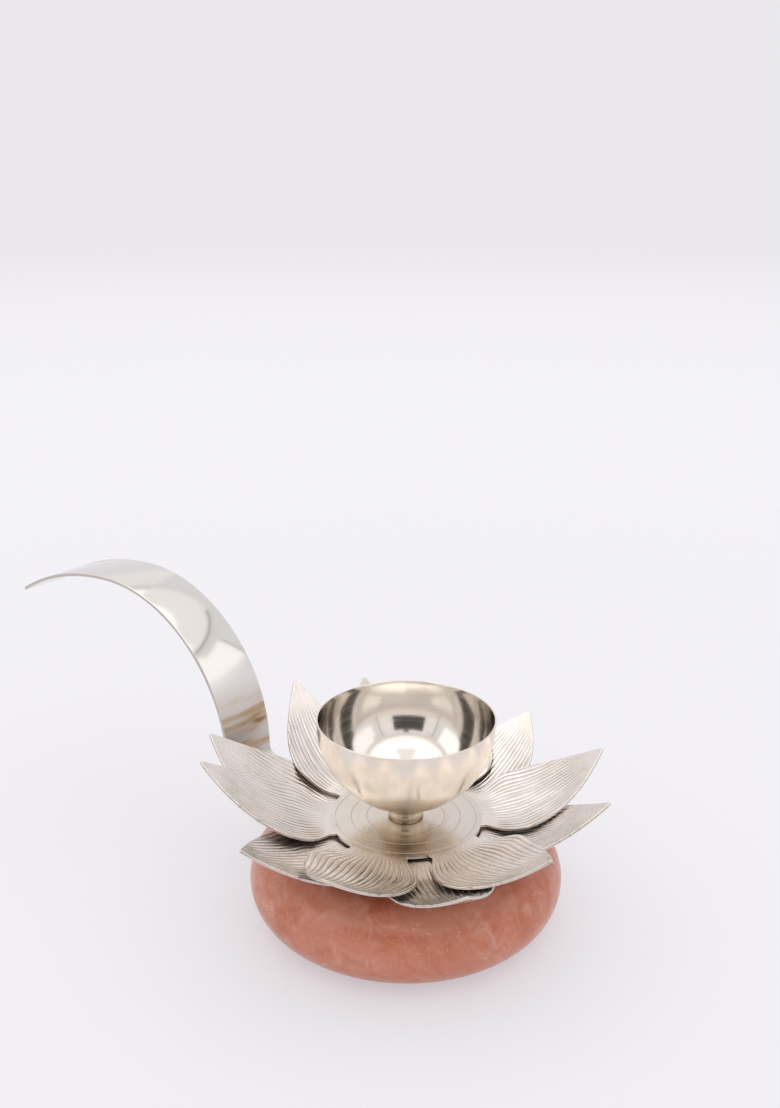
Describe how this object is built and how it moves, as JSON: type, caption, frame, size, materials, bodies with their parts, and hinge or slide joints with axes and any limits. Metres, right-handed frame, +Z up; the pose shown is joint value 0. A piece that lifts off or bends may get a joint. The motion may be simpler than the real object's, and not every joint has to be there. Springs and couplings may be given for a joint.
{
  "type": "aarti lamp",
  "caption": "Hand-held oil lamp: a round metal bowl on a short stem over a two-layer lotus flower, on a polished stone disc, with a long bent strip handle.",
  "frame": {"origin": "on the axis of the bowl and stone, on the flat face of the felt pad that the lamp rests on", "axes": "+Z up along the axis of the bowl, +X away from the handle, so the handle points along -X"},
  "size_m": [0.2343, 0.1267, 0.089],
  "materials": {
    "felt": "matt felt",
    "pink_stone": "polished, cloudy peach pink",
    "steel": "plain zinc",
    "fibre": "matt fibre",
    "rubber": "matt",
    "polished_metal": "mirror polished white metal",
    "satin_metal": "satin white metal with engraved lines",
    "bowl_metal": "mirror polished inside, brushed outside"
  },
  "bodies": {
    "root": {"base_pad": "felt", "stone_base": "pink_stone", "base_nut": "steel", "base_washer": "steel", "cushion_washer": "fibre", "centre_stud": "steel", "stone_gasket": "rubber", "handle_strip": "polished_metal", "lower_lotus": "satin_metal", "lotus_collar": "satin_metal", "upper_lotus": "satin_metal", "bowl_stem": "satin_metal", "bowl": "bowl_metal"}
  },
  "joints": []
}
